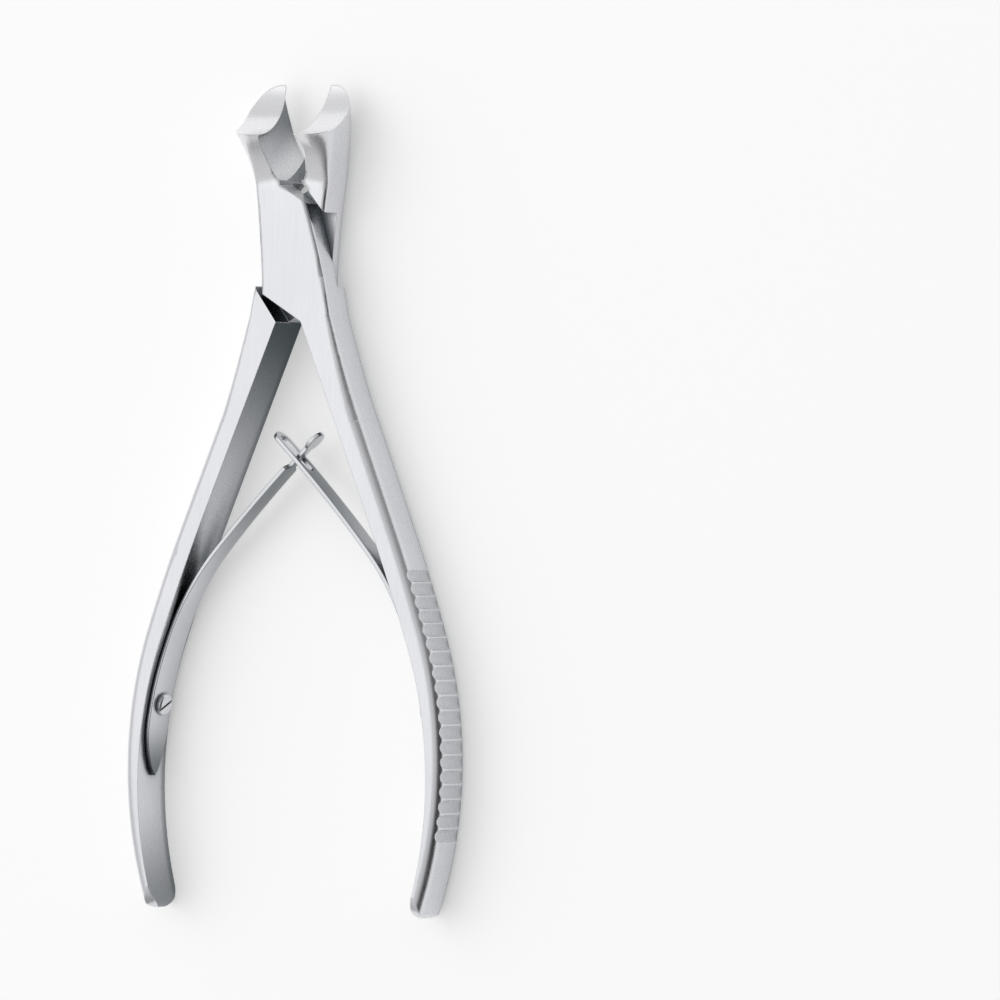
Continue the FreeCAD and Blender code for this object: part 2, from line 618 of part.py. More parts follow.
def buildLeaf(name, side, tongue):
    thick = size("thickness")
    half = size("leafThickness") / 2
    footEnd = size("leafLift") - size("leafFootEnd")
    freeLength = size("leafCrossing") + size("leafBeyond")
    steps = [footEnd + (freeLength - footEnd) * number / 16 for number in range(17)]

    strip = doc.addObject("PartDesign::Body", name + "Strip")
    profile = addSketch(strip, name + "Profile", "XY_Plane")
    edges = []
    for offset in (-half, half):
        line = []
        for step in steps:
            x, y, lean = leafPoint(step)
            line.append((side * (x + offset * math.cos(lean)), y + offset * math.sin(lean)))
        edges.append(line)
    inner, outer = edges
    drawCurve(profile, inner)
    drawLine(profile, inner[-1], outer[-1])
    drawCurve(profile, outer)
    drawLine(profile, outer[0], inner[0])
    doc.recompute()
    pad = strip.newObject("PartDesign::Pad", name + "StripPad")
    pad.Profile = profile
    pad.Length = thick
    doc.recompute()

    # The leaf's outline as seen square to its chord: pointed foot, taper, and a slot or a necked oval end.
    startX, startY, startLean = leafPoint(footEnd)
    tipX, tipY, tipLean = leafPoint(freeLength)
    chord = vec(side * (tipX - startX), tipY - startY, 0)
    chord.normalize()
    start = vec(side * startX, startY, 0)

    def station(step):
        x, y, lean = leafPoint(step)
        return (vec(side * x, y, 0) - start).dot(chord)

    turn = FreeCAD.Rotation(vec(0, 1, 0), math.degrees(math.atan2(chord.y, chord.x)))
    deep = 80.0
    origin = vec(start.x, thick / 2, -start.y) - turn.multVec(vec(0, 0, deep / 2))
    shape = doc.addObject("PartDesign::Body", name + "Shape")
    outline = addSketch(shape, name + "Outline", "XZ_Plane", FreeCAD.Placement(origin, turn))
    foot = size("leafFootWidth") / 2
    narrow = size("leafWidth") / 2
    screw = size("leafLift") - size("leafScrewPlace")
    crossing = size("leafCrossing")
    end = station(freeLength)
    if tongue:
        last = station(crossing - 2.2)
    else:
        last = end - narrow
    wideMarks = [
        (0.0, 0.0),
        (station(footEnd + 4.0), 0.62 * foot),
        (station(footEnd + 8.5), 0.93 * foot),
        (station(screw), foot),
        (station(screw + 12.0), 0.93 * foot),
        (station(14.0), narrow + 0.55),
        (station(30.0), narrow + 0.15),
        (last, narrow),
    ]
    mirrored = [(a, -b) for a, b in wideMarks]
    drawCurve(outline, wideMarks)
    if tongue:
        neck = size("neckWidth") / 2
        wide = size("paddleWidth") / 2
        long = size("paddleLength") / 2
        shoulder = station(crossing - 1.2)
        joined = end - long - long * math.sqrt(1 - (neck / wide) ** 2)
        for sign in (1, -1):
            drawLine(outline, (last, sign * narrow), (shoulder, sign * neck))
            drawLine(outline, (shoulder, sign * neck), (joined, sign * neck))
        oval = []
        first = math.pi - math.asin(neck / wide)
        for number in range(9):
            angle = first - first * number / 4
            oval.append((end - long + long * math.cos(angle), wide * math.sin(angle)))
        drawCurve(outline, oval)
    else:
        drawArc(outline, (last, narrow), (end, 0), (last, -narrow))
        slot = size("slotOpening") / 2
        slotEnd = end - size("slotEndWall") - slot
        slotStart = end - size("slotEndWall") - size("slotLength") + slot
        drawLine(outline, (slotStart, slot), (slotEnd, slot))
        drawArc(outline, (slotEnd, slot), (slotEnd + slot, 0), (slotEnd, -slot))
        drawLine(outline, (slotEnd, -slot), (slotStart, -slot))
        drawArc(outline, (slotStart, -slot), (slotStart - slot, 0), (slotStart, slot))
    drawCurve(outline, mirrored)
    doc.recompute()
    blade = shape.newObject("PartDesign::Pad", name + "ShapePad")
    blade.Profile = outline
    blade.Length = deep
    doc.recompute()

    blank = doc.addObject("Part::Common", name + "Blank")
    blank.Base = strip
    blank.Tool = shape
    x, y, lean = handlePoint(size("leafScrewPlace"))
    outward = vec(side * math.cos(lean), math.sin(lean), 0)
    hole = cylinder(name + "Hole", 1, 6, vec(side * x, y, thick / 2) - outward * 4, outward)
    hole.setExpression("Radius", "sizes.springScrewRadius + sizes.springScrewClearance")
    leaf = doc.addObject("Part::Cut", name)
    leaf.Base = blank
    leaf.Tool = hole
    place(leaf, name, side)
    doc.recompute()
    return leaf


def buildPivotScrew(name, side):
    body = doc.addObject("PartDesign::Body", name)
    sink = size("pivotHeadSink")
    head = size("pivotHeadRadius")
    shank = size("pivotRadius")
    top = size("thickness") - size("pivotCap") - 0.2
    profile = addSketch(body, name + "Profile", "XZ_Plane")
    drawLines(profile, [(0, sink), (head - sink, sink), (shank, head - shank), (shank, top), (0, top)])
    doc.recompute()
    turned = body.newObject("PartDesign::Revolution", name + "Turned")
    turned.Profile = profile
    turned.ReferenceAxis = (profile, ["V_Axis"])
    turned.Angle = 360
    doc.recompute()
    level = FreeCAD.Placement(vec(0, 0, sink + size("slotDepth")), FreeCAD.Rotation(vec(0, 0, 1), 35))
    slot = addSketch(body, name + "SlotSketch", "XY_Plane", level)
    half = size("slotWidth") / 2
    drawLines(slot, [(-6, -half), (6, -half), (6, half), (-6, half)])
    doc.recompute()
    cut = body.newObject("PartDesign::Pocket", name + "Slot")
    cut.Profile = slot
    cut.Length = 6
    doc.recompute()
    place(body, name, side)
    return body


def buildSpringScrew(name, side):
    body = doc.addObject("PartDesign::Body", name)
    seat = size("leafSeatGap") + size("leafThickness") + 0.04
    head = size("springHeadRadius")
    shank = size("springScrewRadius")
    top = seat + size("springHeadHeight")
    low = -size("springScrewGrip")
    soft = size("springHeadBevel")
    profile = addSketch(body, name + "Profile", "XZ_Plane")
    drawLine(profile, (0, low), (shank, low))
    drawLine(profile, (shank, low), (shank, seat))
    drawLine(profile, (shank, seat), (head, seat))
    drawLine(profile, (head, seat), (head, top - soft))
    drawLine(profile, (head, top - soft), (head - soft, top))
    drawLine(profile, (head - soft, top), (0, top))
    drawLine(profile, (0, top), (0, low))
    doc.recompute()
    turned = body.newObject("PartDesign::Revolution", name + "Turned")
    turned.Profile = profile
    turned.ReferenceAxis = (profile, ["V_Axis"])
    turned.Angle = 360
    doc.recompute()
    level = FreeCAD.Placement(vec(0, 0, top - size("springSlotDepth")), FreeCAD.Rotation(vec(0, 0, 1), 62 * side))
    slot = addSketch(body, name + "SlotSketch", "XY_Plane", level)
    half = size("springSlotWidth") / 2
    drawLines(slot, [(-4, -half), (4, -half), (4, half), (-4, half)])
    doc.recompute()
    cut = body.newObject("PartDesign::Pocket", name + "Slot")
    cut.Profile = slot
    cut.Length = 4
    cut.Reversed = True
    doc.recompute()
    x, y, lean = handlePoint(size("leafScrewPlace"))
    inward = vec(-side * math.cos(lean), -math.sin(lean), 0)
    along = vec(side * math.sin(lean), -math.cos(lean), 0)
    place(body, name, side)
    seatFrame = frame(vec(side * x, y, size("thickness") / 2), along, inward.cross(along))
    body.Placement = body.Placement.multiply(seatFrame)
    return body


nodes = [
    buildHalf("front_half", 1, True),
    buildHalf("rear_half", -1, False),
    buildPivotScrew("pivot_screw", 1),
    buildLeaf("slotted_spring", 1, False),
    buildLeaf("tongue_spring", -1, True),
    buildSpringScrew("slotted_spring_screw", 1),
    buildSpringScrew("tongue_spring_screw", -1),
]
doc.recompute()

failed = [item.Name for item in doc.Objects if "Invalid" in item.State or "Error" in item.State]
if failed:
    raise RuntimeError("failed objects: " + ", ".join(failed))
for node in nodes:
    shape = node.Shape
    if shape.isNull() or not shape.isValid() or len(shape.Solids) != 1:
        raise RuntimeError("bad shape: " + node.Label)
for node in nodes:
    node.Shape.exportStep("parts/%s.step" % node.Label)
    print(node.Label, round(node.Shape.Volume, 3), node.Shape.BoundBox)
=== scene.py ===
import math
import bmesh
import bpy
import numpy as np
from mathutils import Matrix, Vector


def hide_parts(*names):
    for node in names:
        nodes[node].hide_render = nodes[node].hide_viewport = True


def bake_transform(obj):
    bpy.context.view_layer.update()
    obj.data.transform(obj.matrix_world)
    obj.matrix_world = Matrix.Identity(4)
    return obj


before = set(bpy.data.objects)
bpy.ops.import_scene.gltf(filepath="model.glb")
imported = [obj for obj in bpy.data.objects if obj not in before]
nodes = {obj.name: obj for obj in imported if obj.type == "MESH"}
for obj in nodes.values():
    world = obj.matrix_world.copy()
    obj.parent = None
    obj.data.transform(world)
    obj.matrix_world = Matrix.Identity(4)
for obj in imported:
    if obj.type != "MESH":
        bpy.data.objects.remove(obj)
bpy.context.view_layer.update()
print("frame loaded:", len(nodes), "nodes")

mm = 0.001
openAngle = math.radians(8)  # each half is turned this far from closed, as in the photograph
midLevel = 5.45 * mm  # half the thickness of the joint

# Grinding lines run along an object axis or along a leaf. A reach says how wide a recess still gets painted
# shade.
# A range says where a painted tone comes in: by openness for a recess or a hollow, else by place along Y or
# a leaf.
# The recess and hollow colours are painted shade, and the worn colour is edge wear and a painted highlight.
# Each look holds the steel's own finish together with the colours and ranges of its painted shade and
# highlight.
finishAndPaintedLight = {
    "halves": {
        "light": (0.76, 0.76, 0.79), "dark": (0.67, 0.68, 0.71), "wearAndSheen": (0.93, 0.93, 0.95),
        "roughness": 0.27, "unevenness": 0.05,
        "grainOn": "Object", "grainScale": (2600, 90, 2600), "grainStrength": 0.10, "cloudScale": 60,
        "edgeRounding": 0.22 * mm, "creaseRounding": 1.7 * mm,
        "creaseBottom": (14.5 * mm, 16.8 * mm), "creaseTop": (21 * mm, 18.8 * mm),
        "recess": (0.06, 0.078, 0.084), "recessReach": 12 * mm, "recessRange": (0.08, 0.5),
        "hollow": (0.26, 0.28, 0.30), "hollowReach": 2.4 * mm, "hollowRange": (0.70, 0.97),
        "crotchRange": (-62 * mm, -12 * mm), "jointRange": (-5 * mm, -11 * mm),
        "endRange": (-117 * mm, -141 * mm), "endShade": 0.7,
        "jawRange": (15 * mm, 20 * mm), "jawShine": 0.7,
        "biteRange": (22 * mm, 32.5 * mm), "biteShade": (0.18, 0.76),
    },
    "leaves": {
        "light": (0.70, 0.71, 0.74), "dark": (0.60, 0.61, 0.64), "wearAndSheen": (0.90, 0.90, 0.92),
        "roughness": 0.25, "unevenness": 0.06,
        "grainOn": "UV", "grainScale": (90, 3000, 1), "grainStrength": 0.12, "cloudScale": 90,
        "edgeRounding": 0.10 * mm,
        "recess": (0.07, 0.09, 0.095), "recessReach": 5 * mm, "recessRange": (0.15, 0.75),
        "hollow": (0.26, 0.28, 0.30), "hollowReach": 0.8 * mm, "hollowRange": (0.5, 0.9),
        "footRange": (-18 * mm, -31 * mm), "footShade": 0.8,
        "freeRange": (8 * mm, 42 * mm), "freeShade": 0.74,
        "freeEnd": (49 * mm, 52 * mm), "freeEndShare": 0.2,
    },
    "screws": {
        "light": (0.78, 0.78, 0.81), "dark": (0.70, 0.71, 0.74), "wearAndSheen": (0.95, 0.95, 0.96),
        "roughness": 0.2, "unevenness": 0.05,
        "grainOn": "Object", "grainScale": (3000, 3000, 3000), "grainStrength": 0.06, "cloudScale": 200,
        "edgeRounding": 0.12 * mm,
        "recess": (0.07, 0.09, 0.095), "recessReach": 2 * mm, "recessRange": (0.15, 0.8),
        "hollow": (0.16, 0.18, 0.19), "hollowReach": 0.6 * mm, "hollowRange": (0.55, 0.92),
    },
}

# What all finishes share. A facing says from which to which value of a normal's component a face counts.
shared = {
    "lineDetail": 3.0,
    "cloudDetail": 4.0,
    "shelterSamples": 5,
    "roundingSamples": 6,
    "bumpHeight": 0.02 * mm,
    # How far a rounded normal turns before an edge brightens with wear and painted highlight, and how much
    # the crease holds back.
    "wearAndSheenRange": (0.995, 0.93),
    "creaseWithoutSheen": 0.3,
    "innerFacing": (0.4, 0.8),
    "biteFacing": (-0.25, -0.6),
    "scoopFacing": (0.15, 0.45),
    "frontFacing": (0.4, 0.75),
    "creaseFacing": (0.5, 0.75),
    "broadFacing": (0.75, 0.4),
}

# The handle's inner face in the closed pose: where it starts, how it leans, and its straight and bent runs.
handlePath = {
    "start": (1.65 * mm, -14.2 * mm),
    "lean": math.radians(14.9),
    "runs": ((44.4 * mm, 0.0), (30.0 * mm, 1 / (500 * mm)), (1.0, 1 / (90 * mm))),
}

# Distances run along a leaf from the point where it leaves its handle: below zero it lies on the handle.
leaf = {
    "thickness": 1.0 * mm,
    "seatGap": 0.06 * mm,
    "lift": 73.0 * mm,
    "footEnd": -31.5 * mm,
    "screwPlace": -15.5 * mm,
    "footHalfWidth": 3.9 * mm,
    "footOutline": ((0, 0), (1.0, 0.24), (4.0, 0.62), (8.5, 0.93)),  # mm from the tip, share of half width
    "aboveScrew": (12 * mm, 0.93),  # distance from the screw, share of half width
    "narrowing": ((6, 0.98), (14, 0.55), (30, 0.15)),  # mm along the leaf, mm added to the free half width
    "freeHalfWidth": 2.35 * mm,
    "bendRun": 22.0 * mm,
    "bendRadius": 58.0 * mm,
    "freeRadius": 330.0 * mm,
    "flexFrom": 2.0 * mm,
    "flexTo": 32.0 * mm,
    "crossing": 50.3 * mm,
    "beyond": 8.0 * mm,
    "holeRadius": 1.3 * mm,
    "slotHalfWidth": 1.3 * mm,
    "slotLength": 11.0 * mm,
    "slotEndWall": 1.3 * mm,
    "neckHalfWidth": 0.95 * mm,
    "neckReach": 3.2 * mm,
    "neckTaper": 1.0 * mm,
    "paddleHalfWidth": 1.9 * mm,
    "paddleLength": 5.0 * mm,
    "edgeRadius": 0.22 * mm,
    "openingEdgeShare": 0.6,
    "edgeSteps": 5,
    "rowSpacing": 0.3 * mm,
    "endRows": 24,
    "holeRows": 25,
    "tipRows": 12,
    "tipRun": 1.0 * mm,
    "mergeWithin": 0.002 * mm,
    "wallWithin": 0.001 * mm,
    "sharpFrom": math.radians(35),
}

studio = {
    "floorColour": (0.93, 0.93, 0.93),
    "floorReach": 8.0,
    "floorLevel": -0.05 * mm,
    "floorLift": 0.37,
    "floorRoughness": 0.9,
    "daylightFrom": (-0.52, 0.32, 0.7),
    "daylightDark": 0.2,
    "daylightBright": 0.75,
    "daylightSpread": (-0.5, 0.95),
    "darkCardAt": (0.857, -0.1, 0.515),
    "darkCardSpread": (0.80, 0.96),
    "darkCardLeaves": 0.15,
    "lampPower": 2.2,
    "lampSize": 1.3,
    "lampFrom": (-0.75, 0.35, 1.15),
    "frameWidth": 217.1 * mm,
    "lookAt": (37.5 * mm, -50.6 * mm, -17.1 * mm),
    "lookFrom": (0.515, 0.0, 0.857),
    "roll": math.radians(1.0),
    "distance": 2.0,
    "sensorWidth": 36,
    "seeTo": 20,
}


# Places and leans after the distances along straight runs and arcs, each given as length and bend.
# A straight run moves by (sin lean, -cos lean), and an arc turns the lean by distance times bend.
def followRuns(start, lean, runs, distances):
    left = np.array(distances, float)
    x = np.full_like(left, start[0])
    y = np.full_like(left, start[1])
    lean = np.full_like(left, lean)
    for run, bend in runs:
        part = np.minimum(left, run)
        if bend:
            turned = lean - part * bend
            x = x + (np.cos(turned) - np.cos(lean)) / bend
            y = y - (np.sin(lean) - np.sin(turned)) / bend
            lean = turned
        else:
            x = x + part * np.sin(lean)
            y = y - part * np.cos(lean)
        left = left - part
    return x, y, lean


# Turns points of the closed pose, drawn for the front half, to where they are in the photograph.
def openOut(points, side):
    turn = side * openAngle
    x = points[..., 0] * side
    y = points[..., 1]
    moved = np.empty_like(points)
    moved[..., 0] = x * math.cos(turn) - y * math.sin(turn)
    moved[..., 1] = x * math.sin(turn) + y * math.cos(turn)
    moved[..., 2] = points[..., 2]
    return moved


# A smooth curve through marks of (place, value): cubic pieces whose slopes are the marks' own mean slopes.
def smoothThrough(marks, places):
    at, value = marks[:, 0], marks[:, 1]
    slope = np.gradient(value, at)
    index = np.clip(np.searchsorted(at, places) - 1, 0, len(at) - 2)
    span = at[index + 1] - at[index]
    share = np.clip((places - at[index]) / span, 0, 1)
    rest = 1 - share
    before = value[index] * (1 + 2 * share) + slope[index] * span * share
    after = value[index + 1] * (3 - 2 * share) - slope[index + 1] * span * rest
    return before * rest ** 2 + after * share ** 2


# A mesh from a grid of points, rows along the piece and columns round it. The columns close on themselves,
# and the first and last rows are closed with a fan to their own middle.
def ringMesh(name, grid, uv, flip=False):
    rows, columns = grid.shape[:2]
    number = np.arange(rows * columns).reshape(rows, columns)
    after = np.roll(number, -1, axis=1)
    quads = np.stack([number[:-1], after[:-1], after[1:], number[1:]], axis=-1).reshape(-1, 4)
    points = np.concatenate([grid.reshape(-1, 3), grid[:1].mean(axis=1), grid[-1:].mean(axis=1)])
    first = np.full(columns, rows * columns)
    caps = np.concatenate([
        np.stack([after[0], number[0], first], axis=-1),
        np.stack([number[-1], after[-1], first + 1], axis=-1),
    ])
    if flip:
        quads = quads[:, ::-1]
        caps = caps[:, ::-1]
    mesh = bpy.data.meshes.new(name)
    mesh.from_pydata(points.tolist(), [], quads.tolist() + caps.tolist())
    corners = np.empty(len(mesh.loops), np.int32)
    mesh.loops.foreach_get("vertex_index", corners)
    places = np.concatenate([uv.reshape(-1, 2), uv[:1].mean(axis=1), uv[-1:].mean(axis=1)])
    layer = mesh.uv_layers.new(name="alongPiece")
    layer.data.foreach_set("uv", places[corners].astype(np.float32).ravel())
    mesh.update()
    return mesh


# A mix of two colours by a factor. Either side is a colour or another node's output.
# The mix node takes its colours in sockets 6 and 7 and gives the result in socket 2.
def mixColours(tree, factor, first, second):
    mix = tree.nodes.new("ShaderNodeMix")
    mix.data_type = "RGBA"
    tree.links.new(factor, mix.inputs["Factor"])
    for socket, colour in ((mix.inputs[6], first), (mix.inputs[7], second)):
        if isinstance(colour, tuple):
            socket.default_value = (*colour, 1)
        else:
            tree.links.new(colour, socket)
    return mix.outputs[2]


# A value brought from one range to another, with soft ends.
def mapRange(tree, value, low, high, newLow=0.0, newHigh=1.0):
    change = tree.nodes.new("ShaderNodeMapRange")
    change.interpolation_type = "SMOOTHSTEP"
    change.inputs["From Min"].default_value = low
    change.inputs["From Max"].default_value = high
    change.inputs["To Min"].default_value = newLow
    change.inputs["To Max"].default_value = newHigh
    tree.links.new(value, change.inputs["Value"])
    return change.outputs["Result"]


# Two values made one: their product or the larger of them.
def combine(tree, operation, first, second):
    node = tree.nodes.new("ShaderNodeMath")
    node.operation = operation
    tree.links.new(first, node.inputs[0])
    tree.links.new(second, node.inputs[1])
    return node.outputs[0]


# One component of a vector.
def component(tree, vector, axis):
    parts = tree.nodes.new("ShaderNodeSeparateXYZ")
    tree.links.new(vector, parts.inputs[0])
    return parts.outputs[axis]


# How open the surroundings of a point are within a reach: 1 on an open face, less in a recess.
def openness(tree, reach):
    shelter = tree.nodes.new("ShaderNodeAmbientOcclusion")
    shelter.samples = shared["shelterSamples"]
    shelter.inputs["Distance"].default_value = reach
    return shelter.outputs["AO"]


# Noise on stretched coordinates.
def noise(tree, coordinates, scale, detail):
    stretched = tree.nodes.new("ShaderNodeMapping")
    stretched.inputs["Scale"].default_value = scale
    tree.links.new(coordinates, stretched.inputs["Vector"])
    pattern = tree.nodes.new("ShaderNodeTexNoise")
    pattern.inputs["Scale"].default_value = 1.0
    pattern.inputs["Detail"].default_value = detail
    tree.links.new(stretched.outputs["Vector"], pattern.inputs["Vector"])
    return pattern.outputs["Fac"]


# How far a face looks along one axis, by one of the shared facings. A side of -1 turns it round.
def facing(tree, normal, axis, name, side=1, most=1.0):
    begins, full = shared[name]
    return mapRange(tree, component(tree, normal, axis), begins * side, full * side, 0.0, most)


# Painted shade: the inner faces of a handle are dark towards the joint and towards the end.
def paintShadeOnInnerFaces(tree, colour, normal, level, look, innerSide):
    inner = facing(tree, normal, "X", "innerFacing", innerSide)
    nearJoint = mapRange(tree, level, *look["crotchRange"])
    belowJoint = mapRange(tree, level, *look["jointRange"])
    crotch = combine(tree, "MULTIPLY", nearJoint, belowJoint)
    end = mapRange(tree, level, *look["endRange"], 0.0, look["endShade"])
    dark = combine(tree, "MULTIPLY", inner, combine(tree, "MAXIMUM", crotch, end))
    return mixColours(tree, dark, colour, look["recess"])


# Painted shade and highlight on a jaw: the hollow inner face is darker towards its cutting edge, and the
# scoop and front are brighter.
def paintJawShadeAndHighlight(tree, colour, normal, level, look, innerSide):
    onJaw = mapRange(tree, level, *look["jawRange"])
    bite = facing(tree, normal, "X", "biteFacing", innerSide)
    shade = combine(tree, "MULTIPLY", onJaw, mapRange(tree, level, *look["biteRange"], *look["biteShade"]))
    colour = mixColours(tree, combine(tree, "MULTIPLY", bite, shade), colour, look["recess"])
    scoop = facing(tree, normal, "Y", "scoopFacing", most=look["jawShine"])
    front = facing(tree, normal, "Z", "frontFacing", most=look["jawShine"])
    shine = combine(tree, "MULTIPLY", onJaw, combine(tree, "MAXIMUM", scoop, front))
    return mixColours(tree, shine, colour, look["wearAndSheen"])


# Painted shade: a leaf is dark towards the tip of its foot, and on its broad faces towards the crossing.
def paintLeafShade(tree, colour, normal, along, look):
    tip = mapRange(tree, along, *look["footRange"], 0.0, look["footShade"])
    colour = mixColours(tree, tip, colour, look["recess"])
    broad = facing(tree, normal, "Z", "broadFacing")
    free = mapRange(tree, along, *look["freeRange"], 0.0, look["freeShade"])
    beforeEnd = mapRange(tree, along, *look["freeEnd"], 1.0, look["freeEndShare"])
    free = combine(tree, "MULTIPLY", free, beforeEnd)
    return mixColours(tree, combine(tree, "MULTIPLY", broad, free), colour, look["recess"])


# How near a point of the front face is to the line where the jaw turns forwards out of the joint.
def nearCrease(tree, normal, level, look):
    above = mapRange(tree, level, *look["creaseBottom"])
    below = mapRange(tree, level, *look["creaseTop"])
    within = combine(tree, "MULTIPLY", above, below)
    return combine(tree, "MULTIPLY", within, facing(tree, normal, "Z", "creaseFacing"))


# Satin steel: fine grinding lines, faint cloudiness, painted shade in recesses and on some faces,
# and edges that are brighter, partly from wear and partly as a painted highlight.
# On a half, innerSide says whether its handle's inner faces look along +X or -X.
def steelMaterial(name, look, innerSide=0):
    material = bpy.data.materials.new(name)
    material.use_nodes = True
    tree = material.node_tree
    shader = tree.nodes["Principled BSDF"]
    shader.inputs["Metallic"].default_value = 1.0
    place = tree.nodes.new("ShaderNodeTexCoord")
    surface = tree.nodes.new("ShaderNodeNewGeometry")
    lines = noise(tree, place.outputs[look["grainOn"]], look["grainScale"], shared["lineDetail"])
    clouds = noise(tree, place.outputs["Object"], (look["cloudScale"],) * 3, shared["cloudDetail"])
    colour = mixColours(tree, clouds, look["dark"], look["light"])

    # Painted shade: recesses and small hollows are darkened by how little of their surroundings is open.
    deepShade = mapRange(tree, openness(tree, look["recessReach"]), *look["recessRange"])
    colour = mixColours(tree, deepShade, look["recess"], colour)
    fineShade = mapRange(tree, openness(tree, look["hollowReach"]), *look["hollowRange"])
    colour = mixColours(tree, fineShade, look["hollow"], colour)
    if innerSide:
        level = component(tree, place.outputs["Object"], "Y")
        colour = paintShadeOnInnerFaces(tree, colour, surface.outputs["Normal"], level, look, innerSide)
        colour = paintJawShadeAndHighlight(tree, colour, surface.outputs["Normal"], level, look, innerSide)

    if "footRange" in look:
        along = component(tree, place.outputs["UV"], "X")
        colour = paintLeafShade(tree, colour, surface.outputs["Normal"], along, look)

    # Edges are rounded a little, and the metal is brighter there: partly edge wear, partly a painted
    # highlight.
    rounded = tree.nodes.new("ShaderNodeBevel")
    rounded.samples = shared["roundingSamples"]
    rounded.inputs["Radius"].default_value = look["edgeRounding"]
    bend = tree.nodes.new("ShaderNodeVectorMath")
    bend.operation = "DOT_PRODUCT"
    tree.links.new(rounded.outputs["Normal"], bend.inputs[0])
    tree.links.new(surface.outputs["Normal"], bend.inputs[1])
    wearAndSheen = mapRange(tree, bend.outputs["Value"], *shared["wearAndSheenRange"])
    if innerSide:
        crease = nearCrease(tree, surface.outputs["Normal"], level, look)
        radius = mapRange(tree, crease, 0, 1, look["edgeRounding"], look["creaseRounding"])
        tree.links.new(radius, rounded.inputs["Radius"])
        wearAndSheen = combine(tree, "MULTIPLY", wearAndSheen, mapRange(tree, crease, 0, shared["creaseWithoutSheen"], 1.0, 0.0))
    colour = mixColours(tree, wearAndSheen, colour, look["wearAndSheen"])
    tree.links.new(colour, shader.inputs["Base Color"])

    smoothest = look["roughness"] - look["unevenness"]
    roughest = look["roughness"] + look["unevenness"]
    tree.links.new(mapRange(tree, lines, 0, 1, smoothest, roughest), shader.inputs["Roughness"])
    bump = tree.nodes.new("ShaderNodeBump")
    bump.inputs["Strength"].default_value = look["grainStrength"]
    bump.inputs["Distance"].default_value = shared["bumpHeight"]
    tree.links.new(lines, bump.inputs["Height"])
    tree.links.new(rounded.outputs["Normal"], bump.inputs["Normal"])
    tree.links.new(bump.outputs["Normal"], shader.inputs["Normal"])
    return material


frontSteel = steelMaterial("frontSteel", finishAndPaintedLight["halves"], innerSide=-1)
rearSteel = steelMaterial("rearSteel", finishAndPaintedLight["halves"], innerSide=1)
leafSteel = steelMaterial("leafSteel", finishAndPaintedLight["leaves"])
screwSteel = steelMaterial("screwSteel", finishAndPaintedLight["screws"])
steelOf = {
    "front_half": frontSteel,
    "rear_half": rearSteel,
    "pivot_screw": screwSteel,
    "slotted_spring_screw": screwSteel,
    "tongue_spring_screw": screwSteel,
}
for name, steel in steelOf.items():
    nodes[name].data.materials.clear()
    nodes[name].data.materials.append(steel)
print("steel finishes on the halves and screws")


# Places and leans along the handle's inner face, from where it starts.
def alongHandle(distances):
    return followRuns(handlePath["start"], handlePath["lean"], handlePath["runs"], distances)


# Middle line of a leaf: the handle's inner face moved inwards, then two arcs that bow away from it.
def leafLine(places):
    off = leaf["seatGap"] + leaf["thickness"] / 2
    x, y, lean = alongHandle(leaf["lift"] - np.minimum(places, 0))
    x = x - off * np.cos(lean)
    y = y - off * np.sin(lean)
    startX, startY, startLean = (float(value[0]) for value in alongHandle([leaf["lift"]]))
    start = (startX - off * math.cos(startLean), startY - off * math.sin(startLean))
    runs = ((leaf["bendRun"], -1 / leaf["bendRadius"]), (1.0, -1 / leaf["freeRadius"]))
    freeX, freeY, freeLean = followRuns(start, startLean + math.pi, runs, np.maximum(places, 0))
    free = places > 0
    return np.where(free, freeX, x), np.where(free, freeY, y), np.where(free, freeLean - math.pi, lean)


# Half width of a leaf at each place: a smooth curve through marks, and a round end or a neck with an oval.
def leafHalfWidth(places, tongue):
    end = leaf["crossing"] + leaf["beyond"]
    foot, free = leaf["footHalfWidth"], leaf["freeHalfWidth"]
    marks = [(leaf["footEnd"] + at * mm, share * foot) for at, share in leaf["footOutline"]]
    marks.append((leaf["screwPlace"], foot))
    above, share = leaf["aboveScrew"]
    marks.append((leaf["screwPlace"] + above, share * foot))
    marks += [(at * mm, free + more * mm) for at, more in leaf["narrowing"]]
    marks.append((end, free))
    width = smoothThrough(np.array(marks), places)
    if not tongue:
        toEnd = np.clip((places - (end - free)) / free, 0, 1)
        return np.where(places > end - free, free * np.sqrt(1 - toEnd ** 2), width)
    shoulder = leaf["crossing"] - leaf["neckReach"]
    narrowing = np.clip((places - shoulder) / leaf["neckTaper"], 0, 1)
    width = np.where(places > shoulder, free + (leaf["neckHalfWidth"] - free) * narrowing, width)
    long = leaf["paddleLength"] / 2
    oval = leaf["paddleHalfWidth"] * np.sqrt(np.clip(1 - ((places - (end - long)) / long) ** 2, 0, 1))
    width = np.maximum(width, np.where(places > end - 2 * long, oval, 0))
    return np.where(places > end - long, oval, width)


# Half width of the opening along a leaf's middle: the screw hole, and the long slot with round ends.
def leafOpening(places, tongue):
    hole = np.sqrt(np.clip(leaf["holeRadius"] ** 2 - (places - leaf["screwPlace"]) ** 2, 0, None))
    if tongue:
        return hole
    half = leaf["slotHalfWidth"]
    high = leaf["crossing"] + leaf["beyond"] - leaf["slotEndWall"] - half
    low = high - leaf["slotLength"] + 2 * half
    beyond = np.maximum(low - places, 0) + np.maximum(places - high, 0)
    return np.maximum(hole, np.sqrt(np.clip(half ** 2 - beyond ** 2, 0, None)))


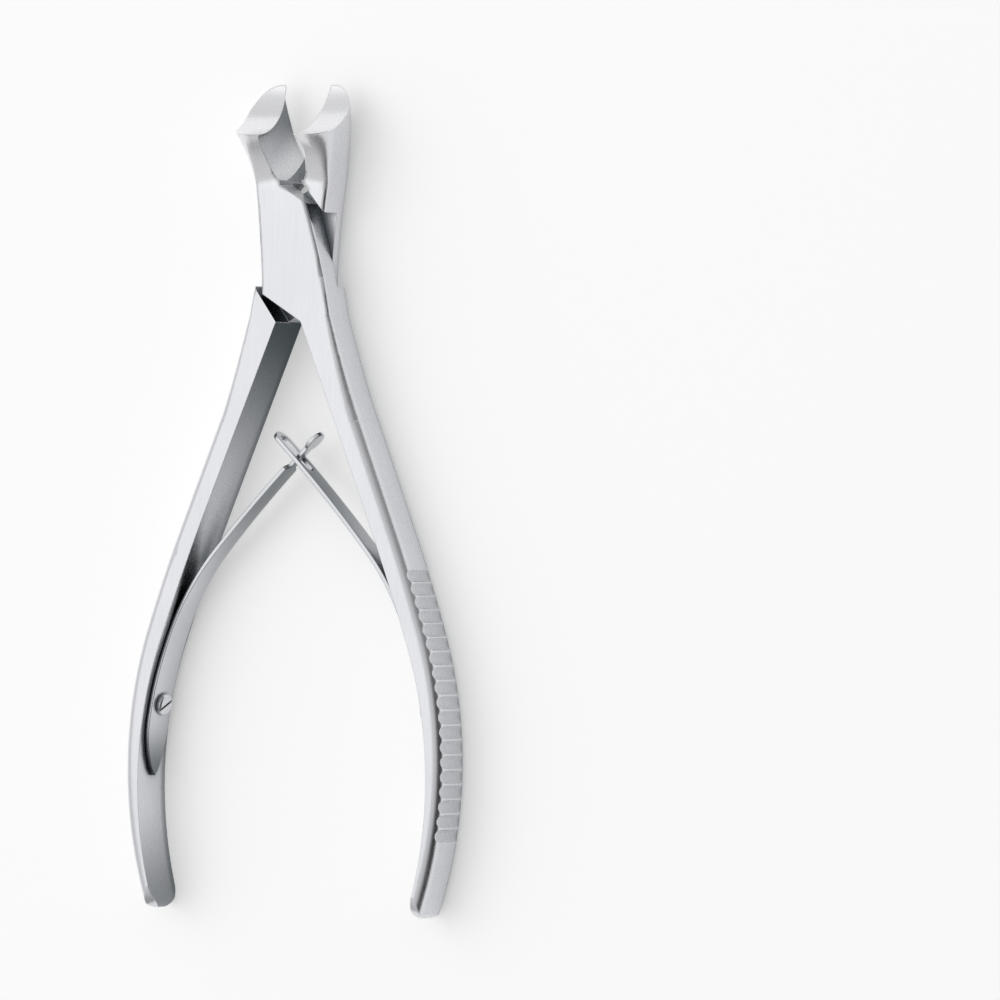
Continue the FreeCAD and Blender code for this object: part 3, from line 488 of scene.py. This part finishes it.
# One side of a leaf from its opening to its outer edge: a flat bar with rounded edges.
def leafRail(places, tongue, hand, side):
    outer = leafHalfWidth(places, tongue)
    inner = np.minimum(leafOpening(places, tongue), outer)
    half = leaf["thickness"] / 2
    outerRound = np.minimum(leaf["edgeRadius"], outer / 2)
    innerRound = np.minimum(leaf["edgeRadius"] * leaf["openingEdgeShare"], inner / 2)
    angles = np.linspace(0, math.pi / 2, leaf["edgeSteps"])
    cos, sin = np.cos(angles), np.sin(angles)
    across, up = [], []
    for signAcross, signUp, reverse in ((1, 1, True), (1, -1, False), (-1, -1, True), (-1, 1, False)):
        edge = outer if signAcross > 0 else inner
        radius = outerRound if signAcross > 0 else innerRound
        c, s = (cos[::-1], sin[::-1]) if reverse else (cos, sin)
        across.append(edge[:, None] - signAcross * radius[:, None] * (1 - c[None, :]))
        up.append(signUp * (half - radius[:, None] * (1 - s[None, :])))
    across = np.concatenate(across, axis=1)
    up = np.concatenate(up, axis=1)
    x, y, lean = leafLine(places)
    grid = np.empty(across.shape + (3,))
    grid[..., 0] = x[:, None] + up * np.cos(lean)[:, None]
    grid[..., 1] = y[:, None] + up * np.sin(lean)[:, None]
    grid[..., 2] = midLevel + hand * across
    uv = np.stack([np.broadcast_to(places[:, None], across.shape), hand * across], axis=-1)
    return openOut(grid, side), uv


# Where the rows of points along a leaf lie: closer at the free end, the screw hole and the foot's tip.
def leafRows():
    end = leaf["crossing"] + leaf["beyond"]
    roundEnd = np.cos(np.linspace(0, math.pi / 2, leaf["endRows"]))
    roundHole = np.cos(np.linspace(0, math.pi, leaf["holeRows"]))
    return np.unique(np.concatenate([
        np.arange(leaf["footEnd"], end, leaf["rowSpacing"]),
        end - leaf["freeHalfWidth"] * (1 - roundEnd),
        leaf["screwPlace"] + leaf["holeRadius"] * roundHole,
        leaf["footEnd"] + np.linspace(0, 1, leaf["tipRows"]) ** 2 * leaf["tipRun"],
    ]))


# The two sides of a leaf made one skin: points that coincide are merged, and the walls between them go.
def joinSides(name, sides):
    skin = bmesh.new()
    for mesh in sides:
        skin.from_mesh(mesh)
    bmesh.ops.remove_doubles(skin, verts=skin.verts, dist=leaf["mergeWithin"])
    near = leaf["wallWithin"]
    walls = [face for face in skin.faces if all(abs(v.co.z - midLevel) < near for v in face.verts)]
    bmesh.ops.delete(skin, geom=walls, context="FACES")
    joined = bpy.data.meshes.new(name)
    skin.to_mesh(joined)
    skin.free()
    return joined


# A leaf shows in place of its solid.
def buildLeaf(name, side, tongue, node):
    sides = []
    for hand in (1, -1):
        grid, uv = leafRail(leafRows(), tongue, hand, side)
        sides.append(ringMesh(name + "Side", grid, uv, flip=(hand * side > 0)))
    piece = bpy.data.objects.new(name, joinSides(name, sides))
    bpy.context.scene.collection.objects.link(piece)
    piece.data.materials.append(leafSteel)
    piece.data.polygons.foreach_set("use_smooth", np.ones(len(piece.data.polygons), bool))
    piece.data.set_sharp_from_angle(angle=leaf["sharpFrom"])
    lineX, lineY = leafLine(np.array([leaf["flexFrom"], leaf["flexTo"]]))[:2]
    ends = openOut(np.stack([lineX, lineY, np.full(2, midLevel)], axis=-1), side)
    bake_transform(piece)
    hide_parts(node)


buildLeaf("slottedLeaf", 1, False, "slotted_spring")
buildLeaf("tongueLeaf", -1, True, "tongue_spring")
print("spring leaves bent between handles and free ends")


# A pale floor whose own light lifts it to white for the camera and in reflections. It keeps the shadow.
def buildFloor():
    reach, level = studio["floorReach"], studio["floorLevel"]
    corners = [
        (-reach, -reach, level),
        (reach, -reach, level),
        (reach, reach, level),
        (-reach, reach, level),
    ]
    mesh = bpy.data.meshes.new("floor")
    mesh.from_pydata(corners, [], [(0, 1, 2, 3)])
    floor = bpy.data.objects.new("floor", mesh)
    bpy.context.scene.collection.objects.link(floor)
    material = bpy.data.materials.new("paleFloor")
    material.use_nodes = True
    tree = material.node_tree
    shader = tree.nodes["Principled BSDF"]
    shader.inputs["Base Color"].default_value = (*studio["floorColour"], 1)
    shader.inputs["Roughness"].default_value = studio["floorRoughness"]
    shader.inputs["Emission Color"].default_value = (1, 1, 1, 1)
    seenBy = tree.nodes.new("ShaderNodeLightPath").outputs
    seen = combine(tree, "MAXIMUM", seenBy["Is Camera Ray"], seenBy["Is Glossy Ray"])
    seen = combine(tree, "MAXIMUM", seen, seenBy["Is Transmission Ray"])
    lift = mapRange(tree, seen, 0, 1, 0.0, studio["floorLift"])
    tree.links.new(lift, shader.inputs["Emission Strength"])
    mesh.materials.append(material)


# Daylight from all round, brightest at the upper left, with a dark card at the right that draws a dark line
# on rounded edges. The floor reaches so far that the camera sees nothing else behind the object.
def buildDaylight():
    world = bpy.data.worlds.new("daylight")
    bpy.context.scene.world = world
    world.use_nodes = True
    tree = world.node_tree
    background = tree.nodes["Background"]
    background.inputs["Color"].default_value = (1, 1, 1, 1)
    direction = tree.nodes.new("ShaderNodeTexCoord").outputs["Generated"]
    towards = {}
    for name in ("daylightFrom", "darkCardAt"):
        product = tree.nodes.new("ShaderNodeVectorMath")
        product.operation = "DOT_PRODUCT"
        product.inputs[1].default_value = Vector(studio[name]).normalized()
        tree.links.new(direction, product.inputs[0])
        towards[name] = product.outputs["Value"]
    dark, bright = studio["daylightDark"], studio["daylightBright"]
    daylight = mapRange(tree, towards["daylightFrom"], *studio["daylightSpread"], dark, bright)
    dimmed = studio["darkCardLeaves"]
    card = mapRange(tree, towards["darkCardAt"], *studio["darkCardSpread"], 1.0, dimmed)
    tree.links.new(combine(tree, "MULTIPLY", daylight, card), background.inputs["Strength"])


# One soft lamp from the upper left, for the highlights and the shadow.
def placeLamp():
    data = bpy.data.lights.new("softLamp", "AREA")
    data.shape = "SQUARE"
    data.size = studio["lampSize"]
    data.energy = studio["lampPower"]
    lamp = bpy.data.objects.new("softLamp", data)
    bpy.context.scene.collection.objects.link(lamp)
    lamp.location = studio["lampFrom"]
    lamp.rotation_mode = "QUATERNION"
    lamp.rotation_quaternion = Vector(studio["lampFrom"]).to_track_quat("Z", "Y")


# The photograph's camera: a long lens from the upper right, with the handles at the bottom of the frame.
def placeCamera():
    data = bpy.data.cameras.new("camera")
    data.sensor_width = studio["sensorWidth"]
    data.lens = data.sensor_width * studio["distance"] / studio["frameWidth"]
    data.clip_end = studio["seeTo"]
    camera = bpy.data.objects.new("camera", data)
    bpy.context.scene.collection.objects.link(camera)
    back = Vector(studio["lookFrom"]).normalized()
    up = Vector((0, 1, 0))
    right = up.cross(back).normalized()
    rolledRight = right * math.cos(studio["roll"]) + up * math.sin(studio["roll"])
    rolledUp = up * math.cos(studio["roll"]) - right * math.sin(studio["roll"])
    turned = Matrix((rolledRight, rolledUp, back)).transposed().to_4x4()
    turned.translation = Vector(studio["lookAt"]) + back * studio["distance"]
    camera.matrix_world = turned
    bpy.context.scene.camera = camera


buildFloor()
buildDaylight()
placeLamp()
placeCamera()
bpy.context.scene.view_settings.view_transform = "Standard"
print("floor, daylight, lamp and camera placed")
